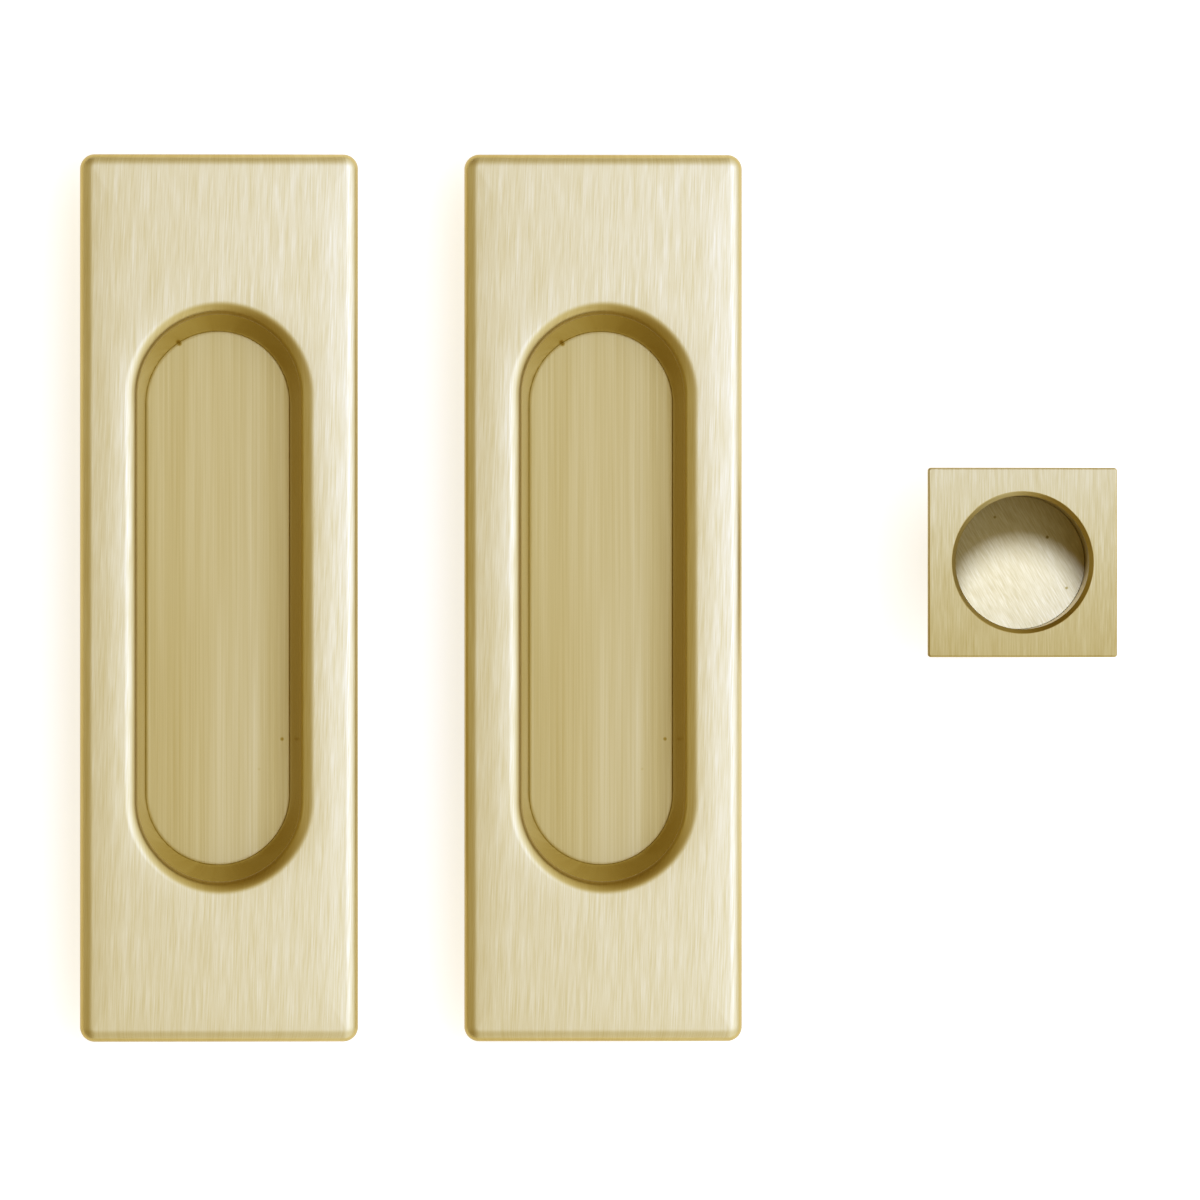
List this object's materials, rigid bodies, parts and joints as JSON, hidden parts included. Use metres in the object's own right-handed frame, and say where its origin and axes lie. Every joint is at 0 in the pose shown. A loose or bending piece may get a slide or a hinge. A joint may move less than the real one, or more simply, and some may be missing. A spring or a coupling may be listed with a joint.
{
  "type": "flush sliding door pull set",
  "caption": "Brass sliding door fittings: oblong flush pulls with a long round-ended finger recess, and a small square edge pull with a round finger recess.",
  "frame": {"origin": "middle of the set's box, at the surface that the fittings lie on", "axes": "+X across the set from the left pull to the edge pull, +Y along the pulls, +Z out of their faces"},
  "size_m": [0.175, 0.15, 0.02],
  "materials": {
    "cover_brass": "satin, finely brushed along the pull",
    "cup_brass": "smooth satin",
    "floor_plate_brass": "satin, brushed in long straight lines along the pull",
    "edge_pull_brass": "satin, finely brushed on the face and smooth in the cup",
    "floor_disc_brass": "satin, brushed on the slant"
  },
  "bodies": {
    "root": {"left_pull_cover": "cover_brass", "left_pull_cup": "cup_brass", "left_pull_floor_plate": "floor_plate_brass", "centre_pull_cover": "cover_brass", "centre_pull_cup": "cup_brass", "centre_pull_floor_plate": "floor_plate_brass", "edge_pull_body": "edge_pull_brass", "edge_pull_floor_disc": "floor_disc_brass"}
  },
  "joints": []
}
